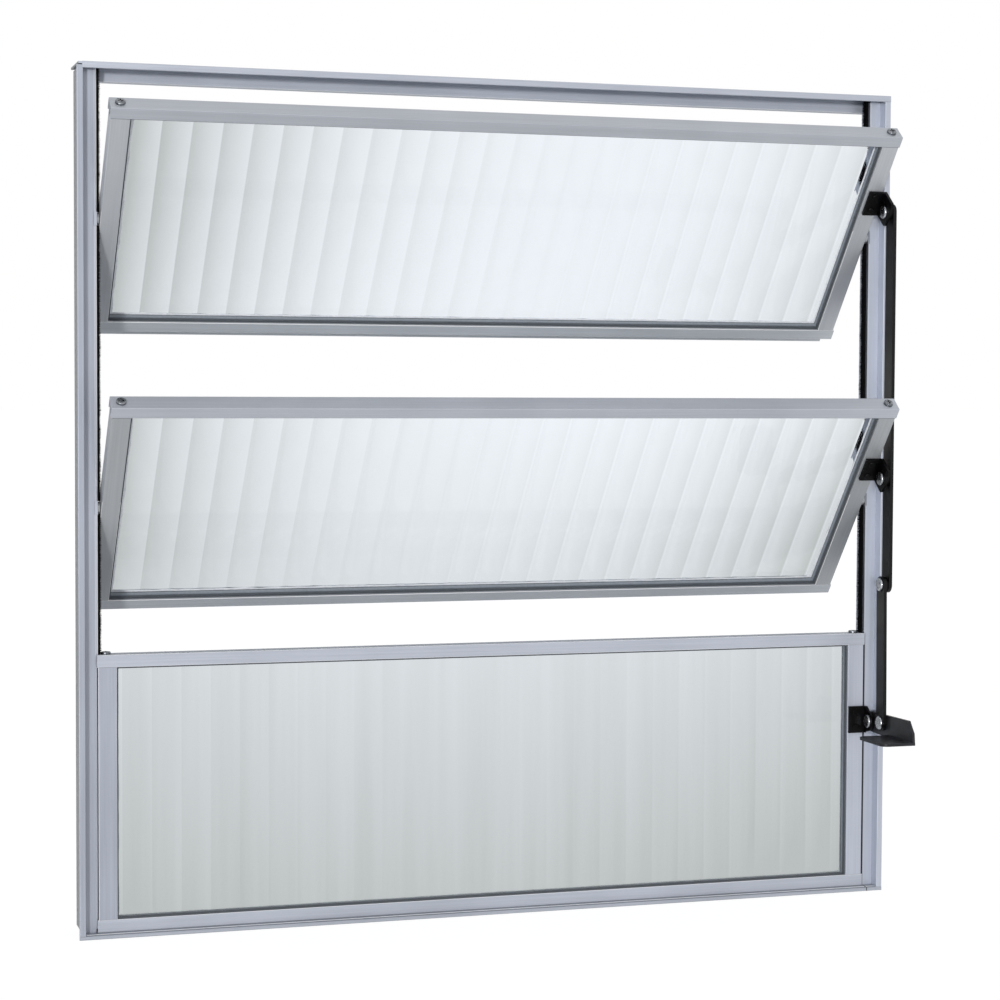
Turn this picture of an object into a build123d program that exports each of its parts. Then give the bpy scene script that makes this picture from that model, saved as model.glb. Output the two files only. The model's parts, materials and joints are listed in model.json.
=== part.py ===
from build123d import *
import math
import os

# Pivot window: an aluminium frame with one fixed sash below and two sashes that turn on side pivots.
# All sizes are in millimetres. X runs along the width, Y from the room to the outside, Z up.
# The origin is the centre of the sill's bottom face. Every piece is built where it stands in the photo.

# Overall frame
width = 600.0
height = 594.0
depth = 40.0

# Frame extrusions
frame_wall = 1.4
bead_height = 4.4
bead_thickness = 1.5
leg_setback = 8.4
leg_depth = 9.0
jamb_cover = 12.6
head_cover = 10.9
head_leg_setback = 21.5
head_notch = 3.9
web_inset = 3.0
web_drop = 2.4
sill_cover = 3.1
sill_bead_height = 2.6
sill_nose = 2.6
sill_wall = 1.0
edge_round = 0.45

# Sash extrusions
sash_depth = 12.7
sash_setback = 6.5
sash_wall = 1.1
rail_height = 8.6
stile_width = 12.7
rail_overhang = 0.8
chamber_depth = 7.0
pocket_depth = 7.5
side_gap = 3.7
fixed_side_gap = 1.4

# Fixed and turning sashes
fixed_sash_height = 190.8
turning_sash_height = 185.2
middle_pivot_height = 294.3
upper_pivot_height = 489.8
pivot_setback = 12.0
photo_opening = 39.5

# Drip lip below each turning sash, lapping behind the sash under it
lip_drop = 14.0
lip_gap = 2.6
lip_wall = 1.2

# Fluted glass and its gasket
glass_thickness = 3.4
glass_hold = 5.0
flute_pitch = 20.5
flute_rise = 0.7
gasket_wall = 1.0
gasket_seat = 0.9
gasket_start = 1.6

# Brush strips on the jambs
brush_width = 7.0
brush_setback = 10.0
brush_clearance = 0.3
brush_squeeze = 1.3
brush_break = 4.4

# Pivots
pin_diameter = 4.0
pin_grip = 5.0
pin_reach = 4.0
bush_flange = 8.0
bush_sleeve = 5.6
running_clearance = 0.05
bush_clearance = 0.3

# Rail screws
screw_head = 6.8
screw_head_height = 1.8
screw_head_round = 0.8
cross_reach = 3.7
cross_width = 0.9
cross_depth = 0.5
screw_shank = 3.5
screw_length = 16.0
screw_inset = 6.0

# Brackets that carry the linkage
bracket_thickness = 2.0
bracket_height = 20.0
bracket_plate = 14.0
bracket_ear = 16.5
bracket_corner = 2.5
bracket_offset = 25.5
bracket_screw_head = 5.0
bracket_screw_rise = 0.8
bracket_screw_bevel = 0.4
bracket_screw_inset = 8.7
bracket_screw_spacing = 11.4
ear_stand_off = 1.3
lever_bracket_base = 119.2
lever_bracket_shoulder = 4.0

# Linkage rivets
rivet_diameter = 4.8
rivet_head = 9.8
rivet_head_height = 1.5
rivet_head_round = 1.1
rivet_tail = 7.4
rivet_tail_height = 1.0
rivet_clearance = 0.05
axial_clearance = 0.2
sash_rivet_rise = 34.0
sash_rivet_reach = 15.0

# Link bars
bar_width = 12.0
bar_thickness = 2.5
ear_spacer = 2.7
bar_spacer = 1.7
spacer_diameter = 11.0
joint_height = 232.8

# Lever: places are measured from the frame's front face and from the floor of the sill
lever_pivot_reach = 1.8
lever_pivot_height = 128.6
lever_pin_reach = 23.0
lever_pin_height = 130.4
lever_pin_play = 0.75
lever_thickness = 2.0
lever_clearance = 0.3
lever_hub_radius = 7.4
lever_length = 71.0
lever_top = 137.0
lever_bottom = 120.0
lever_nose = 8.0
lever_nose_lean = 1.0
lever_nose_height = 8.5
lever_tab_width = 24.0
lever_tab_start = 30.0
lever_tab_corner = 5.0

# Values that follow from the sizes above
half_width = width / 2
front = -depth / 2
back = depth / 2
leg_front = front + leg_setback
leg_back = leg_front + leg_depth
head_leg_front = front + head_leg_setback
head_leg_back = head_leg_front + leg_depth
jamb_face = half_width - jamb_cover
web_inside = half_width - web_inset - frame_wall
head_face = height - head_cover
sash_front = front + sash_setback
turning_half = jamb_face - side_gap
fixed_half = jamb_face - fixed_side_gap
pivot_y = front + pivot_setback
pivot_offset = pivot_setback - sash_setback
fixed_sash_top = sill_cover + fixed_sash_height
glass_front = chamber_depth + gasket_seat
glass_back = glass_front + glass_thickness
ear_left = turning_half + ear_stand_off
link_bar_left = ear_left + bracket_thickness + ear_spacer
lower_bar_left = link_bar_left - bar_spacer - bar_thickness
lever_ear_left = fixed_half
lever_left = lever_ear_left + bracket_thickness + lever_clearance


def block(x, y, z):
    """A box between the low and high ends given for each axis."""
    size = Box(x[1] - x[0], y[1] - y[0], z[1] - z[0])
    return Pos((x[0] + x[1]) / 2, (y[0] + y[1]) / 2, (z[0] + z[1]) / 2) * size


def patch(a, b):
    """A flat rectangle between two opposite corners, for drawing profiles."""
    return Pos((a[0] + b[0]) / 2, (a[1] + b[1]) / 2) * Rectangle(b[0] - a[0], b[1] - a[1])


def along_x(profile, x):
    """A profile drawn in Y and Z, extruded along X between two ends."""
    return Pos(x[0], 0, 0) * extrude(Plane.YZ * profile, x[1] - x[0])


def along_z(profile, z):
    """A profile drawn in X and Y, extruded along Z between two ends."""
    return Pos(0, 0, z[0]) * extrude(profile, z[1] - z[0])


def rod(x, y, z, diameter):
    """A cylinder along X between two ends."""
    body = Cylinder(diameter / 2, x[1] - x[0], rotation=(0, 90, 0))
    return Pos((x[0] + x[1]) / 2, y, z) * body


def mirrored(shape):
    """The same piece on the other side of the window."""
    return mirror(shape, Plane.YZ)


def on_sash(shape, pivot_height):
    """Turn a piece drawn about a sash's pivot axis to the opening in the photo."""
    return Pos(0, pivot_y, pivot_height) * Rot(photo_opening, 0, 0) * shape


# Frame members
def bead_profile(a, b):
    """The section of a bead, its two front edges rounded. The first axis of the drawing runs backwards."""
    section = patch(a, b)
    return fillet(section.vertices().sort_by(Axis.X)[:2], edge_round)


def head():
    """The head: a bead in front, a top plate, and a hollow leg behind the brush and the closed sash."""
    plate_half = half_width - frame_wall
    bead = bead_profile((front, height - bead_height), (front + bead_thickness, height))
    plate = patch((front + bead_thickness, height - frame_wall), (back, height))
    leg = patch((head_leg_front, head_face), (head_leg_back, height - frame_wall))
    leg = fillet(leg.vertices().sort_by(Axis.Y)[:2], edge_round)
    hollow = patch((head_leg_front + frame_wall, head_face + frame_wall),
                   (head_leg_back - frame_wall, height - frame_wall))
    return (along_x(bead, (head_notch - half_width, half_width))
            + along_x(plate, (-plate_half, plate_half))
            + along_x(leg - hollow, (-web_inside, web_inside)))


def sill():
    """The sill: a low bead in front of a flat hollow box that carries the fixed sash."""
    bead = bead_profile((front, 0), (front + bead_thickness, sill_bead_height))
    box = patch((front + sill_nose, 0), (back, sill_cover))
    box = fillet(box.vertices().sort_by(Axis.Y)[-2:], edge_round)
    hollow = patch((front + sill_nose + sill_wall, sill_wall), (back - sill_wall, sill_cover - sill_wall))
    floor = patch((front + bead_thickness, 0), (back, sill_wall))
    return along_x(bead, (-half_width, half_width)) + along_x(box + floor - hollow, (-web_inside, web_inside))


def right_jamb():
    """A jamb: a web set in behind the bead, and a hollow leg bored for the pivots."""
    web = patch((web_inside, front + bead_thickness), (web_inside + frame_wall, back))
    bead = patch((half_width - bead_height, front), (half_width, front + bead_thickness))
    bead = fillet(bead.vertices().sort_by(Axis.Y)[:2], edge_round)
    leg = patch((jamb_face, leg_front), (web_inside, leg_back))
    leg = fillet(leg.vertices().sort_by(Axis.X)[:2], edge_round)
    hollow = patch((jamb_face + frame_wall, leg_front + frame_wall), (web_inside, leg_back - frame_wall))
    jamb = (along_z(web, (web_drop, height - web_drop))
            + along_z(bead, (sill_bead_height, height - bead_height))
            + along_z(leg - hollow, (sill_cover, height - frame_wall)))
    for pivot_height in (middle_pivot_height, upper_pivot_height):
        jamb -= rod((jamb_face, jamb_face + frame_wall), pivot_y, pivot_height, bush_sleeve)
    return jamb


def left_jamb():
    """The left jamb, whose bead runs on beside the end of the head's bead."""
    tongue = block((-half_width, head_notch - half_width), (front, front + bead_thickness),
                   (height - bead_height, height - web_drop))
    return mirrored(right_jamb()) + tongue


def right_brush():
    """The brush strip of one jamb: three lengths between the pivots, and a thin one beside the fixed sash."""
    y = (front + brush_setback, front + brush_setback + brush_width)
    breaks = [fixed_sash_top]
    for pivot_height in (middle_pivot_height, upper_pivot_height):
        breaks += [pivot_height - brush_break, pivot_height + brush_break]
    breaks.append(height - frame_wall)
    tip = turning_half + rail_overhang + brush_clearance
    lengths = [block((tip, jamb_face), y, (breaks[i], breaks[i + 1])) for i in range(0, len(breaks), 2)]
    beside_rails = rail_height + brush_clearance
    lengths.append(block((fixed_half + brush_clearance, jamb_face), (y[0] - brush_squeeze, y[1]),
                         (sill_cover + beside_rails, fixed_sash_top - beside_rails)))
    return Compound(children=lengths)


def bush(pivot_height):
    """A nylon bush in the right jamb: a flange towards the sash and a sleeve in the bored wall."""
    sash_side = turning_half + bush_clearance
    flange = rod((sash_side, jamb_face), pivot_y, pivot_height, bush_flange)
    sleeve = rod((jamb_face, jamb_face + frame_wall), pivot_y, pivot_height, bush_sleeve)
    bore = rod((sash_side, jamb_face + frame_wall), pivot_y, pivot_height,
               pin_diameter + 2 * running_clearance)
    return flange + sleeve - bore


def pivot_bushes():
    """All four bushes."""
    right = [bush(pivot_height) for pivot_height in (middle_pivot_height, upper_pivot_height)]
    return Compound(children=right + [mirrored(piece) for piece in right])


# Sash members, drawn with the sash's front face at Y = 0 and its middle at the origin
def rail(half_length, edge):
    """A top rail whose outer edge lies at Z = edge: hollow front, glass pocket open below, back lip."""
    bottom = edge - rail_height
    outline = patch((0, bottom), (sash_depth, edge))
    outline = fillet(outline.vertices(), edge_round)
    chamber = patch((sash_wall, bottom + sash_wall), (chamber_depth - sash_wall, edge - sash_wall))
    pocket = patch((chamber_depth, bottom), (sash_depth - sash_wall, bottom + pocket_depth))
    return along_x(outline - chamber - pocket, (-half_length, half_length))


def stile(half_outside, half_height):
    """A right stile between the rails: hollow front, glass pocket open inwards, back lip."""
    inner = half_outside - stile_width
    outline = patch((inner, 0), (half_outside, sash_depth))
    outline = fillet(outline.vertices(), edge_round)
    chamber = patch((inner + sash_wall, sash_wall), (half_outside - sash_wall, chamber_depth - sash_wall))
    pocket = patch((inner, chamber_depth), (inner + pocket_depth, sash_depth - sash_wall))
    back_chamber = patch((inner + pocket_depth + sash_wall, chamber_depth),
                         (half_outside - sash_wall, sash_depth - sash_wall))
    return along_z(outline - chamber - pocket - back_chamber,
                   (rail_height - half_height, half_height - rail_height))


def fluted_pane(half_outside, half_height):
    """The glass: flat behind, with a row of upright round flutes in front."""
    half = half_outside - stile_width + glass_hold
    crest = glass_front
    valley = crest + flute_rise
    count = math.ceil(half / flute_pitch)
    edges = [i * flute_pitch for i in range(-count, count + 1)]
    flutes = [ThreePointArc((a, valley), ((a + b) / 2, crest), (b, valley))
              for a, b in zip(edges, edges[1:])]
    outline = flutes + [
        Line((edges[-1], valley), (edges[-1], glass_back)),
        Line((edges[-1], glass_back), (edges[0], glass_back)),
        Line((edges[0], glass_back), (edges[0], valley)),
    ]
    tall = half_height - rail_height + glass_hold
    plate = Pos(0, 0, -tall) * extrude(make_face(Curve() + outline), 2 * tall)
    return plate & block((-half, half), (0, sash_depth), (-tall, tall))


def gasket(half_outside, half_height):
    """A rubber ring that lines the opening in front of the glass and is held in the pocket."""
    x = half_outside - stile_width
    z = half_height - rail_height
    lining = (block((-x, x), (gasket_start, chamber_depth), (-z, z))
              - block((gasket_wall - x, x - gasket_wall), (gasket_start, chamber_depth),
                      (gasket_wall - z, z - gasket_wall)))
    seat = (chamber_depth, glass_front)
    flange = (block((-x - glass_hold, x + glass_hold), seat, (-z - glass_hold, z + glass_hold))
              - block((gasket_wall - x, x - gasket_wall), seat, (gasket_wall - z, z - gasket_wall)))
    return lining + flange


def pan_screw(x, top):
    """An upright screw with a pan head that stands on Z = top and a shank below it."""
    y = sash_depth / 2
    head_body = Cylinder(screw_head / 2, screw_head_height)
    rim = head_body.edges().filter_by(GeomType.CIRCLE).sort_by(Axis.Z)[-1]
    head_body = fillet(rim, screw_head_round)
    slot = Box(cross_reach, cross_width, 2 * cross_depth)
    head_body -= Pos(0, 0, screw_head_height / 2) * (slot + Rot(0, 0, 90) * slot)
    shank = Cylinder(screw_shank / 2, screw_length)
    return (Pos(x, y, top + screw_head_height / 2) * head_body
            + Pos(x, y, top - screw_length / 2) * shank)


def rail_screws(half_outside, half_height):
    """The two screws that hold the top rail on its stiles."""
    x = half_outside - screw_inset
    return Compound(children=[pan_screw(-x, half_height), pan_screw(x, half_height)])


def screw_bore(half_outside, half_height, diameter):
    """The holes that the two rail screws pass through."""
    x = half_outside - screw_inset
    hole = Pos(x, sash_depth / 2, half_height - screw_length / 2) * Cylinder(diameter / 2, screw_length)
    return hole + mirrored(hole)


def sash(half_outside, sash_height):
    """All pieces of a plain sash, drawn upright about its own middle, by short name."""
    half_height = sash_height / 2
    holes = screw_bore(half_outside, half_height, screw_shank)
    right = stile(half_outside, half_height) - holes
    top = rail(half_outside + rail_overhang, half_height)
    return {
        "top_rail": top - holes,
        "bottom_rail": mirror(top, Plane.XY),
        "right_stile": right,
        "left_stile": mirrored(right),
        "glass": fluted_pane(half_outside, half_height),
        "gasket": gasket(half_outside, half_height),
        "screws": rail_screws(half_outside, half_height),
    }


def drip_lip(half_length, half_height):
    """The lip on a turning bottom rail: a ledge behind the rail and a fin that hangs from it."""
    behind = sash_depth + lip_gap
    ledge = patch((sash_depth - sash_wall, -half_height), (behind + lip_wall, lip_wall - half_height))
    fin = patch((behind, -half_height - lip_drop), (behind + lip_wall, lip_wall - half_height))
    return along_x(ledge + fin, (-half_length, half_length))


def pivot_pin():
    """The right pin, drawn about the pivot axis: held in the stile and turning in the bush."""
    return rod((turning_half - pin_grip, jamb_face + pin_reach), 0, 0, pin_diameter)


def turning_sash(name, pivot_height):
    """A turning sash with its pins and bracket, placed at its pivot and opened as in the photo."""
    pieces = sash(turning_half, turning_sash_height)
    half_height = turning_sash_height / 2
    pieces["bottom_rail"] += drip_lip(turning_half + rail_overhang, half_height)
    placed = {part: Pos(0, -pivot_offset, 0) * shape for part, shape in pieces.items()}
    pin = pivot_pin()
    placed["right_stile"] -= pin
    placed["left_stile"] -= mirrored(pin)
    placed["pins"] = Compound(children=[pin, mirrored(pin)])
    placed["bracket"] = sash_bracket()
    placed["bracket_screws"] = bracket_screws(
        ear_left, -pivot_offset, bracket_offset + bracket_height / 2)
    return {name + "_" + part: on_sash(shape, pivot_height) for part, shape in placed.items()}


# Brackets and their small screws
def angle_bracket(ear_x, face_y, bottom, ear_outline):
    """A folded bracket: a plate on the stile's face and an ear of the given outline beside it."""
    plate = block((ear_x + bracket_thickness - bracket_plate, ear_x + bracket_thickness),
                  (face_y - bracket_thickness, face_y), (bottom, bottom + bracket_height))
    return plate + along_x(ear_outline, (ear_x, ear_x + bracket_thickness))


def sash_bracket():
    """The bracket of a turning sash, drawn about the pivot axis, bored for the link rivet."""
    middle = bracket_offset + bracket_height / 2
    near = -pivot_offset
    far = near - bracket_ear
    outline = Pos((near + far) / 2, middle) * Rectangle(near - far, bracket_height)
    outline = fillet(outline.vertices().sort_by(Axis.X)[:2], bracket_corner)
    outline -= Pos(-sash_rivet_reach, sash_rivet_rise) * Circle(rivet_diameter / 2 + rivet_clearance)
    return angle_bracket(ear_left, near, bracket_offset, outline)


def lever_bracket():
    """The bracket on the fixed sash: its ear narrows to a round end about the lever's pivot."""
    top = lever_bracket_base + bracket_height
    pivot_front = front - lever_pivot_reach
    near = sash_front
    outline = Polygon((near, lever_bracket_base), (near, top), (near - lever_bracket_shoulder, top),
                      (pivot_front, lever_pivot_height + lever_hub_radius),
                      (pivot_front, lever_pivot_height - lever_hub_radius), align=None)
    outline += Pos(pivot_front, lever_pivot_height) * Circle(lever_hub_radius)
    outline -= Pos(pivot_front, lever_pivot_height) * Circle(rivet_diameter / 2)
    return angle_bracket(lever_ear_left, near, lever_bracket_base, outline)


def bracket_screws(ear_x, face_y, middle):
    """Two small low heads on a bracket's plate."""
    x = ear_x + bracket_thickness - bracket_screw_inset
    y = face_y - bracket_thickness - bracket_screw_rise / 2
    disc = Cylinder(bracket_screw_head / 2, bracket_screw_rise, rotation=(90, 0, 0))
    disc = chamfer(disc.edges().filter_by(GeomType.CIRCLE).sort_by(Axis.Y)[0], bracket_screw_bevel)
    places = (middle - bracket_screw_spacing / 2, middle + bracket_screw_spacing / 2)
    return Compound(children=[Pos(x, y, z) * disc for z in places])


# Linkage
def round_bar(left, y, low, high):
    """A flat bar with round ends about two heights, standing upright."""
    outline = Pos(y, (low + high) / 2) * SlotCenterToCenter(high - low, bar_width, rotation=90)
    return along_x(outline, (left, left + bar_thickness))


def rivet(left, right, y, z):
    """A rivet along X: a domed head on the left, a shank, and a flat tail on the right."""
    dome = Cylinder(rivet_head / 2, rivet_head_height, rotation=(0, 90, 0))
    dome = fillet(dome.edges().filter_by(GeomType.CIRCLE).sort_by(Axis.X)[0], rivet_head_round)
    head_part = Pos(left - rivet_head_height / 2, y, z) * dome
    shank = rod((left, right), y, z, rivet_diameter)
    tail = rod((right, right + rivet_tail_height), y, z, rivet_tail)
    return head_part + shank + tail


def sash_rivet_place(pivot_height):
    """Where a sash bracket's rivet stands in the photo, in Y and Z."""
    angle = math.radians(photo_opening)
    y = -sash_rivet_reach * math.cos(angle) - sash_rivet_rise * math.sin(angle)
    z = sash_rivet_rise * math.cos(angle) - sash_rivet_reach * math.sin(angle)
    return pivot_y + y, pivot_height + z


def link_bar():
    """The long bar that ties both turning sashes and carries the joint to the lower bar."""
    y, top = sash_rivet_place(upper_pivot_height)
    bar = round_bar(link_bar_left, y, joint_height, top)
    for z in (top, sash_rivet_place(middle_pivot_height)[1], joint_height):
        bar -= rod((link_bar_left, link_bar_left + bar_thickness), y, z, rivet_diameter)
    return bar


def link_rivets():
    """The bar's rivets through the two sash brackets and through the lower bar."""
    y, top = sash_rivet_place(upper_pivot_height)
    right = link_bar_left + bar_thickness
    ears = [rivet(ear_left - axial_clearance, right, y, z)
            for z in (top, sash_rivet_place(middle_pivot_height)[1])]
    return Compound(children=ears + [rivet(lower_bar_left - axial_clearance, right, y, joint_height)])


def link_spacers():
    """The round spacers on the rivets, between the long bar and what it turns against."""
    y, top = sash_rivet_place(upper_pivot_height)
    ear_right = ear_left + bracket_thickness + axial_clearance
    bar_right = lower_bar_left + bar_thickness + axial_clearance
    rings = []
    for left, z in ((ear_right, top), (ear_right, sash_rivet_place(middle_pivot_height)[1]),
                    (bar_right, joint_height)):
        ring = rod((left, link_bar_left), y, z, spacer_diameter)
        rings.append(ring - rod((left, link_bar_left), y, z, rivet_diameter))
    return Compound(children=rings)


def lower_link_bar():
    """The short bar from the joint down to the lever's pin, whose hole is wide for the open pivot."""
    y, _ = sash_rivet_place(upper_pivot_height)
    pin_y = front - lever_pin_reach
    length = math.hypot(y - pin_y, joint_height - lever_pin_height)
    lean = math.degrees(math.atan2(y - pin_y, joint_height - lever_pin_height))
    bar = round_bar(lower_bar_left, 0, 0, length)
    x = (lower_bar_left, lower_bar_left + bar_thickness)
    bar -= rod(x, 0, length, rivet_diameter + 2 * rivet_clearance)
    bar -= rod(x, 0, 0, rivet_diameter + 2 * lever_pin_play)
    return Pos(0, pin_y, lever_pin_height) * Rot(-lean, 0, 0) * bar


def lever_handle():
    """The lever: an upright plate from its pivot forward, folded at the bottom into a finger tab."""
    pivot = (front - lever_pivot_reach, lever_pivot_height)
    end = front - lever_length
    outline = Polygon(
        (pivot[0], pivot[1] - lever_hub_radius),
        (pivot[0], pivot[1] + lever_hub_radius),
        (end + lever_nose, lever_top),
        (end + lever_nose_lean, lever_bottom + lever_nose_height),
        (end, lever_bottom),
        (front - lever_tab_start, lever_bottom),
        align=None)
    outline += Pos(*pivot) * Circle(lever_hub_radius)
    outline -= Pos(*pivot) * Circle(rivet_diameter / 2 + rivet_clearance)
    outline -= Pos(front - lever_pin_reach, lever_pin_height) * Circle(rivet_diameter / 2)
    plate = along_x(outline, (lever_left, lever_left + lever_thickness))
    tab = block((lever_left - lever_tab_width, lever_left + lever_thickness),
                (end, front - lever_tab_start), (lever_bottom, lever_bottom + lever_thickness))
    tab = fillet(tab.edges().filter_by(Axis.Z).sort_by(Axis.X)[:2], lever_tab_corner)
    return plate + tab


def lever_pin():
    """The rivet that is fixed in the lever and turns in the lower bar."""
    return rivet(lower_bar_left - axial_clearance, lever_left + lever_thickness,
                 front - lever_pin_reach, lever_pin_height)


def lever_pivot_rivet():
    """The rivet that is fixed in the lever bracket and carries the lever."""
    return rivet(lever_ear_left, lever_left + lever_thickness + axial_clearance,
                 front - lever_pivot_reach, lever_pivot_height)


def fixed_sash():
    """The fixed sash, standing on the sill."""
    middle = sill_cover + fixed_sash_height / 2
    pieces = sash(fixed_half, fixed_sash_height)
    return {"fixed_sash_" + part: Pos(0, sash_front, middle) * shape for part, shape in pieces.items()}


def all_pieces():
    """Every node by name."""
    brush = right_brush()
    pieces = {
        "head": head(),
        "sill": sill(),
        "right_jamb": right_jamb(),
        "left_jamb": left_jamb(),
        "right_brush": brush,
        "left_brush": mirrored(brush),
        "pivot_bushes": pivot_bushes(),
        "lever_bracket": lever_bracket(),
        "lever_bracket_screws": bracket_screws(
            lever_ear_left, sash_front, lever_bracket_base + bracket_height / 2),
        "lever_pivot_rivet": lever_pivot_rivet(),
        "link_bar": link_bar(),
        "link_rivets": link_rivets(),
        "link_spacers": link_spacers(),
        "lower_link_bar": lower_link_bar(),
        "lever_handle": lever_handle(),
        "lever_pin": lever_pin(),
    }
    pieces.update(fixed_sash())
    pieces.update(turning_sash("middle_sash", middle_pivot_height))
    pieces.update(turning_sash("upper_sash", upper_pivot_height))
    return pieces


os.makedirs("parts", exist_ok=True)
for name, shape in all_pieces().items():
    export_step(shape, "parts/" + name + ".step")
    print(name, len(shape.solids()), "solids")
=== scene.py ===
# %% [markdown]
# # Pivot window
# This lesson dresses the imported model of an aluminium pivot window. The extrusions, rivets and bars already
# have their true shape, so they get materials. Only what the solids don't show is modelled here: the
# bristles, the silicone bead that was run by hand round each pane, and the thin lips of the slots that hold
# the bristles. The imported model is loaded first, because every piece rides on one of its bodies.

# %% Load the frame
import json
import math
import random

import bpy
from mathutils import Matrix, Vector, noise


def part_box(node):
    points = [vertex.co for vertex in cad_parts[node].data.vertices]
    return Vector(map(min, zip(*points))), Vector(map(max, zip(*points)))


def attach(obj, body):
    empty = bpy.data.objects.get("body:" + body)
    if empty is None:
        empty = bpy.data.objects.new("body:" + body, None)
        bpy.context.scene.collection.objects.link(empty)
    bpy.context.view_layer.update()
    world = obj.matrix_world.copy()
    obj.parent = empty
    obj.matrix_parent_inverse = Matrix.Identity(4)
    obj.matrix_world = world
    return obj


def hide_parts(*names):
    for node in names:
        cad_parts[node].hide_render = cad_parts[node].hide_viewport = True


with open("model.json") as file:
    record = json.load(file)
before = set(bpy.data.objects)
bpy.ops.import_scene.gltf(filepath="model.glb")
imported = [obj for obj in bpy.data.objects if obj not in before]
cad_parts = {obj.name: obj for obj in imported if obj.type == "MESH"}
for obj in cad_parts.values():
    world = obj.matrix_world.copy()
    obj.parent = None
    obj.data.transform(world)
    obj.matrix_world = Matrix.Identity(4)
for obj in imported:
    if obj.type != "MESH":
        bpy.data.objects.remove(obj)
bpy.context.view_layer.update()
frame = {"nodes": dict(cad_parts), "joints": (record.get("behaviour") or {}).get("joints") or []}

# %% [markdown]
# Sizes are easier to read in millimetres, but Blender's unit here is the metre. One constant turns one into
# the other. Colours are written as the hex values seen on the object. A screen colour is curved by the sRGB
# rule, and a shader wants the straight, linear value, so one function straightens it.

# %% Millimetres and colours
MM = 0.001


def linear(hex_colour):
    """Turns an sRGB hex colour into the linear values that a shader takes."""
    channels = []
    for start in (1, 3, 5):
        value = int(hex_colour[start:start + 2], 16) / 255
        channels.append(value / 12.92 if value <= 0.04045 else ((value + 0.055) / 1.055) ** 2.4)
    return (*channels, 1.0)


print("mid grey #808080 is", round(linear("#808080")[0], 3), "in linear light")

# %% [markdown]
# A node material is a small machine of boxes and wires. One helper adds a box, sets its options, and fills or
# wires its inputs. An input that is given a socket is wired to it, one that is given a node is wired to the
# node's first output, and anything else is set as a plain value. A colour ramp also takes its stops, each a
# place from 0 to 1 and a colour.

# %% One helper for nodes
def add(tree, kind, inputs=None, stops=(), **settings):
    """Adds a shader node with its settings and stops, and sets or links its inputs."""
    made = tree.nodes.new("ShaderNode" + kind)
    for name, value in settings.items():
        setattr(made, name, value)
    for position, _ in stops[1:-1]:
        made.color_ramp.elements.new(position)
    for index, (position, shade) in enumerate(stops):
        made.color_ramp.elements[index].position = position
        made.color_ramp.elements[index].color = linear(shade)
    for key, value in (inputs or {}).items():
        if isinstance(value, bpy.types.Node):
            value = value.outputs[0]
        if isinstance(value, bpy.types.NodeSocket):
            tree.links.new(value, made.inputs[key])
        else:
            made.inputs[key].default_value = value
    return made


def new_material(name):
    """Starts an empty node material and gives back the material and its tree."""
    made = bpy.data.materials.new(name)
    made.use_nodes = True
    made.node_tree.nodes.clear()
    return made, made.node_tree


def dress(material, *names):
    """Gives CAD nodes their material."""
    for name in names:
        mesh = frame["nodes"][name].data
        mesh.materials.clear()
        mesh.materials.append(material)
    print(material.name, "on", len(names), "nodes")


# %% [markdown]
# The photograph was taken from the room, to the left of the window and about level with its upper part. Its
# horizon and edges give the place and turn of the camera, and a long lens keeps the upright lines nearly
# parallel. The camera comes first, so that every later look is judged from the same place.

# %% Camera
CAMERA_PLACE = (-0.512008, -1.656891, 0.379738)
CAMERA_YAW = 0.30184
CAMERA_PITCH = 0.04815
CAMERA_ROLL = 0.00465
CAMERA_LENS = 86.988
SENSOR_WIDTH = 36


def camera_turn(yaw, pitch, roll):
    """The turn of a camera that looks towards +Y, swung right by yaw, down by pitch, and rolled."""
    forward = Vector((math.sin(yaw) * math.cos(pitch), math.cos(yaw) * math.cos(pitch), -math.sin(pitch)))
    level = Vector((math.cos(yaw), -math.sin(yaw), 0))
    above = level.cross(forward)
    right = level * math.cos(roll) + above * math.sin(roll)
    up = above * math.cos(roll) - level * math.sin(roll)
    return Matrix((right, up, -forward)).transposed().to_4x4()


def put_in_scene(name, data):
    """Makes an object from camera, lamp or mesh data and puts it in the scene."""
    made = bpy.data.objects.new(name, data)
    bpy.context.scene.collection.objects.link(made)
    return made


camera_data = bpy.data.cameras.new("room_camera")
camera_data.lens = CAMERA_LENS
camera_data.sensor_width = SENSOR_WIDTH
camera = put_in_scene("room_camera", camera_data)
camera.matrix_world = Matrix.Translation(CAMERA_PLACE) @ camera_turn(CAMERA_YAW, CAMERA_PITCH, CAMERA_ROLL)
bpy.context.scene.camera = camera

# %% [markdown]
# The shading in the photograph is that of a room: soft light from all round, and one brighter side at the
# left, nearly level, which throws the soft shadow of the frame's bead on the jamb. A world colour gives the
# first and a wide sun lamp the second. Together they light a surface that faces the room at about its written
# colour. The backdrop is white only to the camera, to mirrors and through glass, so it adds nothing to the
# light on the object.

# %% Light
AMBIENT = 0.60
KEY_STRENGTH = 1.65
KEY_LEFT = math.radians(25)
KEY_RISE = math.radians(2)
KEY_WIDTH = math.radians(6)


def kinds_of_ray(tree):
    """Two sockets: 1 for rays from the camera, and 1 for rays that come off a gloss or through glass."""
    path = add(tree, "LightPath")
    indirect = add(tree, "Math", {0: path.outputs["Is Glossy Ray"], 1: path.outputs["Is Transmission Ray"]},
                   operation="MAXIMUM")
    return path.outputs["Is Camera Ray"], indirect.outputs[0]


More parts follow.
